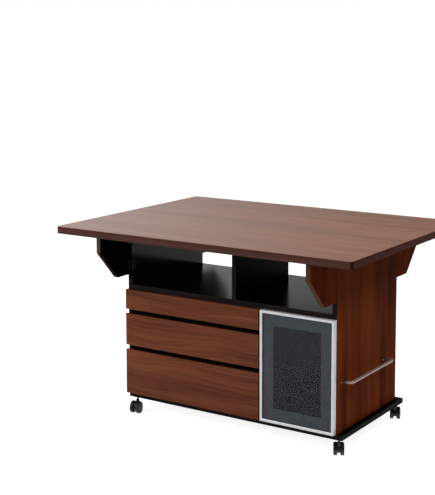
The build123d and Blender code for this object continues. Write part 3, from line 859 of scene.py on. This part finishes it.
@dataclass
class Door:
    """Aluminium frame with mitred corners, smoked glass, border band, gasket, cups and catch.

    slope and slope_depth are the chamfer by the glass. The bead values are how far the gasket reaches
    outwards and inwards from the frame's inner edge, and before and behind the lip.
    """

    left: float = 0.172
    right: float = 0.51
    bottom: float = 0.096
    top: float = 0.557
    front: float = -0.295
    face: float = 0.012
    slope: float = 0.0035
    slope_depth: float = 0.0016
    lip: float = 0.002
    slot_inset: float = 0.004
    slot_end: float = 0.0095
    flange: float = 0.04
    flange_front: float = 0.018
    thick: float = 0.02
    ease: float = 0.0007
    mitre: float = 0.00012
    bead_out: float = 0.0008
    bead_in: float = 0.0012
    bead_front: float = 0.0011
    bead_rear: float = 0.0002

    def _middle(self, depth: float) -> np.ndarray:
        """The middle of the door, that far behind its front."""
        return np.array([(self.left + self.right) / 2, self.front + depth, (self.bottom + self.top) / 2])

    def _half(self) -> np.ndarray:
        """Half the door's width and half its height."""
        return np.array([(self.right - self.left) / 2, (self.top - self.bottom) / 2])

    def _outline(self) -> np.ndarray:
        """The frame's section as inset from the outer edge and depth from the front, its corners eased."""
        raw = [
            (0.0, 0.0), (self.face - self.slope, 0.0), (self.face, self.slope_depth), (self.face, self.lip),
            (self.slot_inset, self.lip), (self.slot_inset, self.slot_end), (self.face, self.slot_end),
            (self.face, self.flange_front), (self.flange, self.flange_front), (self.flange, self.thick),
            (0.0, self.thick),
        ]
        return rounded(np.array(raw), self.ease, 4)

    def _frame(self) -> list[Shell]:
        """The four lengths of the frame.

        A section point at inset i and depth d runs along its side between the mitres: from -(half length - i)
        to +(half length - i), at the outer edge less i, with a hair's breadth left open at each mitre.
        """
        centre, half = self._middle(0.0), self._half()
        section = self._outline()
        inset, depth = section[:, 0], section[:, 1]
        lengths = []
        for axis, sign in ((0, -1), (0, 1), (1, -1), (1, 1)):
            reach = half[axis] - inset - self.mitre
            rows = []
            for end in (-1, 1):
                plane = np.zeros((len(section), 3))
                plane[:, 2 * axis] = end * reach
                plane[:, 2 - 2 * axis] = sign * (half[1 - axis] - inset)
                plane[:, 1] = depth
                rows.append(plane + centre)
            around = len(section)
            faces = quads(2, around, False, True) + [tuple(range(around)), tuple(range(around, 2 * around))]
            lengths.append(Shell(np.concatenate(rows), faces))
        return lengths

    def _gasket(self) -> Shell:
        """The bead round the glass: a small rounded section carried round the frame's opening."""
        out, within, front, rear = -self.bead_out, self.bead_in, -self.bead_front, self.bead_rear
        bead = np.array([(out, front), (within, front), (within, rear), (out, rear)])
        section = rounded(bead, self.bead_out, 4)
        corner = np.array([(-1, -1), (1, -1), (1, 1), (-1, 1)])[:, None, :]
        plan = corner * (self._half() - self.face - section[None, :, :1])
        depth = np.broadcast_to(section[:, 1], plan.shape[:2])
        points = np.stack((plan[..., 0], depth, plan[..., 1]), axis=-1) + self._middle(self.lip)
        return Shell(points.reshape(-1, 3), quads(4, len(section), True, True))

    def build(self, zinc: bpy.types.Material) -> None:
        """Builds and dresses the door.

        Args:
            zinc: Finish of hinge cups and strike plate.
        """
        aluminium = Metal("frame_aluminium", linear(222, 223, 226), 0.42, metallic=0.22).build()
        lengths = self._frame()
        make("door_frame_lengths", lengths, "door", aluminium, ("door_frame",), crease=28.0)
        rubber = Moulded("gasket_rubber", linear(26, 26, 27), 0.6, 0.3)
        make("door_gasket", [self._gasket()], "door", rubber.build())
        dress(SmokedGlass().build(), ("door_glass",))
        dress(Moulded("border_lacquer", linear(97, 111, 117), 0.3, 0.05).build(), ("door_border",))
        dress(zinc, ("door_hinge_cups", "door_catch_strike"))
        dress(Moulded("catch_plastic", linear(24, 24, 25), 0.45).build(), ("door_catch",))


@dataclass
class TowelBar:
    """A bent rod and its two rosettes. Up to one fade from the panel the rod has a painted shade and
    reflection of the panel, and past its bend its own colour; the rosettes have that painted shade all over.
    """

    panel: float = 0.51
    standoff: float = 0.045
    ends: tuple[float, float] = (-0.231, 0.149)
    height: float = 0.302
    bend: float = 0.013
    rod: float = 0.006
    rosette: float = 0.0095
    rosette_thick: float = 0.003
    rosette_ease: float = 0.0008
    clearance: float = 0.00005
    fade: float = 0.012
    bright: Colour = linear(170, 143, 132)
    # painted shade and reflection of the walnut panel, on the rod's legs and on the rosettes
    painted_panel_reflection: Colour = linear(104, 70, 56)
    bend_steps: int = 13
    round_steps: int = 32

    def _rod(self) -> Shell:
        """The rod: a circle carried along two short legs, two bends and the long run between."""
        out, (near, far) = self.panel + self.standoff, self.ends
        t = np.linspace(0, np.pi / 2, self.bend_steps)
        across, along = self.bend * np.sin(t), self.bend * np.cos(t)
        first = np.stack((out - self.bend + across, near + self.bend - along), axis=1)
        second = np.stack((out - self.bend + along, far - self.bend + across), axis=1)
        plan = np.concatenate(([(self.panel, near)], first, second, [(self.panel, far)]))
        path = np.column_stack((plan, np.full(len(plan), self.height)))
        ways = np.gradient(path, axis=0)
        ways[[0, 1, -2, -1]] = [(1, 0, 0), (1, 0, 0), (-1, 0, 0), (-1, 0, 0)]
        ways[[self.bend_steps, self.bend_steps + 1]] = (0, 1, 0)
        ways /= np.linalg.norm(ways, axis=1, keepdims=True)
        up = np.broadcast_to((0.0, 0.0, 1.0), path.shape)
        t = np.linspace(0, 2 * np.pi, self.round_steps, endpoint=False)
        circle = self.rod * np.column_stack((np.cos(t), np.sin(t)))
        return carried(circle, path, np.cross(ways, up), up)

    def build(self) -> None:
        """Builds and dresses rod and rosettes."""
        reach = (self.panel + self.fade, self.panel + self.standoff - self.bend)
        # the rod and the rosettes carry a painted shade and reflection of the panel next to them
        steel = Metal("bar_steel", self.bright, 0.45, Axis.Y, metallic=0.5, near=self.painted_panel_reflection, span=reach)
        rosette_painted_shade = Metal("rosette_steel", self.painted_panel_reflection, 0.36, Axis.Z, metallic=0.7)
        make("towel_bar", [self._rod()], "carcass", steel.build(), ("towel_bar_rail",))
        r, thick = self.rosette, self.rosette_thick
        hole = self.rod + self.clearance
        dome = [(r, 0.4 * thick), (0.8 * r, 0.85 * thick), (0.62 * r, thick)]
        outline = rounded(np.array([(hole, 0), (r, 0)] + dome + [(hole, thick)]), self.rosette_ease, 4)
        axis = np.array((1.0, 0.0, 0.0))
        shells = [turned(outline, np.array((self.panel, y, self.height)), axis, 48) for y in self.ends]
        replaced = ("towel_bar_rosettes",)
        make("towel_bar_roses", shells, "carcass", rosette_painted_shade.build(), replaced, crease=40.0)


@dataclass
class Casters:
    """Four twin-wheel casters, each turned to its own angle.

    places holds each stem's X and Y and its angle in degrees. inner and outer are how far from the middle
    of a pair a wheel begins and ends, and cap is the thickness of its closed middle.
    """

    places: dict[Corner, tuple[float, float, float]] = field(
        default_factory=lambda: {
            Corner.FRONT_LEFT: (-0.485, -0.248, 280.0),
            Corner.FRONT_RIGHT: (0.511, -0.248, 120.0),
            Corner.REAR_LEFT: (-0.485, 0.272, 118.0),
            Corner.REAR_RIGHT: (0.511, 0.272, 110.0),
        }
    )
    trail: float = 0.016
    radius: float = 0.025
    inner: float = 0.0071
    outer: float = 0.0216
    bore: float = 0.00308
    cap: float = 0.0022
    steps: int = 64

    def _wheel(self, centre: np.ndarray, axis: np.ndarray) -> Shell:
        """One wheel, turned about the axle: rounded tread, groove beside it, sunken ring and domed cap."""
        r, a, b = self.radius, self.inner, self.outer
        tread = [
            (0.86 * r, a), (0.955 * r, a + 0.0005), (0.99 * r, a + 0.002), (r, a + 0.0045),
            (r, b - 0.0045), (0.99 * r, b - 0.002), (0.955 * r, b - 0.0006), (0.86 * r, b),
        ]
        groove = [(0.79 * r, b), (0.775 * r, b - 0.0006), (0.75 * r, b - 0.0006), (0.735 * r, b)]
        ring = [(0.63 * r, b), (0.61 * r, b - 0.0008), (0.6 * r, b - 0.0026), (0.56 * r, b - 0.0028)]
        dome = [(0.53 * r, b - 0.0012), (0.4 * r, b - 0.0005), (0.2 * r, b - 0.00015), (0.0, b)]
        inside, within = [(self.bore, a), (0.35 * r, a)], [(0.0, b - self.cap), (self.bore, b - self.cap)]
        section = np.array(inside + tread + groove + ring + dome + within)
        return turned(section, centre, axis, self.steps)

    def build(self, steel: bpy.types.Material) -> None:
        """Builds and dresses the wheels, and dresses the forks.

        Args:
            steel: Finish of the stems.
        """
        dress(steel, ("caster_stems",))
        fork = Moulded("fork_plastic", linear(15, 15, 17), 0.36, 0.3)
        wheel = Moulded("wheel_plastic", linear(17, 17, 19), 0.42, 0.3).build()
        dress(fork.build(), ["caster_fork_" + corner.label for corner in Corner])
        for corner, (x, y, turn) in self.places.items():
            a = math.radians(turn)
            centre = np.array((x + self.trail * math.cos(a), y + self.trail * math.sin(a), self.radius))
            axis = np.array((math.sin(a), -math.cos(a), 0.0))
            wheels = [self._wheel(centre, way * axis) for way in (-1, 1)]
            name, node = "wheels_" + corner.label, "caster_wheels_" + corner.label
            make(name, wheels, name, wheel, (node,), crease=32.0)


@dataclass(frozen=True)
class Studio:
    """Pale floor, white surroundings, soft lamps and the camera.

    sheen is how bright the surroundings are in gloss, by how far a ray points towards the sweep, whose turn
    and rise give its direction. ground_glow is how bright the floor shows, ground_tone its own tone and
    ground_bounce its tone for the light that it sends on. lamps holds each lamp's place, the point that it
    faces, its size in metres and its power in watts.
    """

    eye: Place = (2.57466, -4.23724, 1.69313)
    turn: float = 0.58381
    pitch: float = 0.1128
    roll: float = -0.00235
    focal: float = 1170.41
    rows: int = 495
    shift: float = -0.18
    sensor: float = 36.0
    sweep_turn: float = 1.047
    sweep_rise: float = 0.1
    room_light: float = 0.16
    ground_glow: float = 0.88
    ground_bounce: float = 0.4
    ground_tone: float = 0.8
    ground_reach: float = 40.0
    sheen: tuple[tuple[float, float], ...] = ((0.5, 0.1), (0.8, 0.25), (0.84, 0.3), (0.9, 0.62), (0.945, 1.0))
    lamps: dict[str, tuple[Place, Place, float, float]] = field(
        default_factory=lambda: {
            "key": ((-2.2, -3.8, 3.2), (0.0, 0.0, 0.5), 3.0, 172.0),
            "over": ((0.9, 0.3, 3.9), (0.4, 0.0, 0.6), 2.0, 48.0),
            "side": ((2.5, 0.3, 3.1), (0.5, 0.0, 0.4), 1.0, 34.0),
        }
    )

    def _camera(self) -> None:
        """Places the camera: right, up and back are the columns of its matrix."""
        data = bpy.data.cameras.new("view")
        camera = bpy.data.objects.new("view", data)
        bpy.context.scene.collection.objects.link(camera)
        flat = math.cos(self.pitch)
        right = Vector((math.cos(self.turn), math.sin(self.turn), 0))
        ahead = Vector((-math.sin(self.turn) * flat, math.cos(self.turn) * flat, -math.sin(self.pitch)))
        up = right.cross(ahead)
        side = right * math.cos(self.roll) + up * math.sin(self.roll)
        top = up * math.cos(self.roll) - right * math.sin(self.roll)
        camera.matrix_world = Matrix.Translation(self.eye) @ Matrix((side, top, -ahead)).transposed().to_4x4()
        data.sensor_width = self.sensor
        data.lens = self.focal / self.rows * self.sensor
        data.shift_y = self.shift
        bpy.context.scene.camera = camera

    def _lamp(self, name: str, place: Place, aim: Place, size: float, power: float) -> None:
        """Adds a square soft lamp.

        Args:
            name: The lamp's name.
            place: Where it stands.
            aim: The point that it faces.
            size: Length of its side.
            power: Its power in watts.
        """
        data = bpy.data.lights.new(name, "AREA")
        data.shape = "SQUARE"
        data.size = size
        data.energy = power
        lamp = bpy.data.objects.new(name, data)
        bpy.context.scene.collection.objects.link(lamp)
        way = (Vector(aim) - Vector(place)).to_track_quat("-Z", "Y")
        lamp.matrix_world = Matrix.Translation(place) @ way.to_matrix().to_4x4()

    def _world(self) -> None:
        """White for the camera, for glass and for gloss that points to the sweep, and even room light."""
        world = bpy.data.worlds.new("studio_world")
        bpy.context.scene.world = world
        r = Recipe(world)
        path = r.add("LightPath").outputs
        sweep = (-math.sin(self.sweep_turn), math.cos(self.sweep_turn), self.sweep_rise)
        inputs = {0: r.coords["Generated"], 1: sweep}
        facing = r.add("VectorMath", inputs, operation="DOT_PRODUCT").outputs["Value"]
        sheen = r.ramp(facing, tuple((place, (level,) * 3) for place, level in self.sheen))
        gloss = r.maths("MULTIPLY", path["Is Glossy Ray"], sheen)
        seen = r.maths("MAXIMUM", path["Is Camera Ray"], path["Is Transmission Ray"])
        strength = r.maths("MAXIMUM", r.maths("MAXIMUM", seen, gloss), self.room_light)
        white = r.add("Background", {"Color": WHITE, "Strength": strength}).outputs[0]
        r.add("OutputWorld", {"Surface": white})

    def _floor(self) -> None:
        """A wide pale floor that shows white to the camera and in glass and gloss, while its shadows stay."""
        mesh = bpy.data.meshes.new("floor")
        reach = self.ground_reach
        corners = [(-reach, -reach, 0), (reach, -reach, 0), (reach, reach, 0), (-reach, reach, 0)]
        mesh.from_pydata(corners, [], [(0, 1, 2, 3)])
        floor = bpy.data.objects.new("floor", mesh)
        bpy.context.scene.collection.objects.link(floor)
        r = Recipe("pale_floor")
        path = r.add("LightPath").outputs
        shown = r.maths("MAXIMUM", path["Is Camera Ray"], path["Is Transmission Ray"])
        shown = r.maths("MAXIMUM", shown, path["Is Glossy Ray"])
        strength = r.maths("MULTIPLY", shown, self.ground_glow)
        glow = r.add("Emission", {"Color": WHITE, "Strength": strength}).outputs[0]
        shade = r.blend(shown, *((tone, tone, tone, 1.0) for tone in (self.ground_bounce, self.ground_tone)))
        ground = r.add("BsdfDiffuse", {"Color": shade}).outputs[0]
        r.add("OutputMaterial", {"Surface": r.add("AddShader", {0: ground, 1: glow}).outputs[0]})
        mesh.materials.append(r.material)

    def build(self) -> None:
        """Sets the view, the lights and the ground."""
        bpy.context.scene.view_settings.view_transform = "Standard"
        self._world()
        self._floor()
        for name, lamp in self.lamps.items():
            self._lamp(name, *lamp)
        self._camera()


def main() -> None:
    """Builds the counter's looks and the studio."""
    logging.basicConfig(level=logging.INFO)
    black = BlackBoard("black_laminate", 0.38).build()
    zinc = Metal("zinc_steel", linear(178, 178, 182), 0.38, Axis.X).build()
    black_steel = Moulded("black_steel", linear(16, 16, 17), 0.48, 0.15).build()
    Tabletop().build(zinc, black_steel)
    Carcass().build(black, zinc)
    Wings().build(black_steel)
    Drawers().build(zinc)
    Door().build(zinc)
    TowelBar().build()
    Casters().build(black_steel)
    Studio().build()


if __name__ == "__main__":
    main()
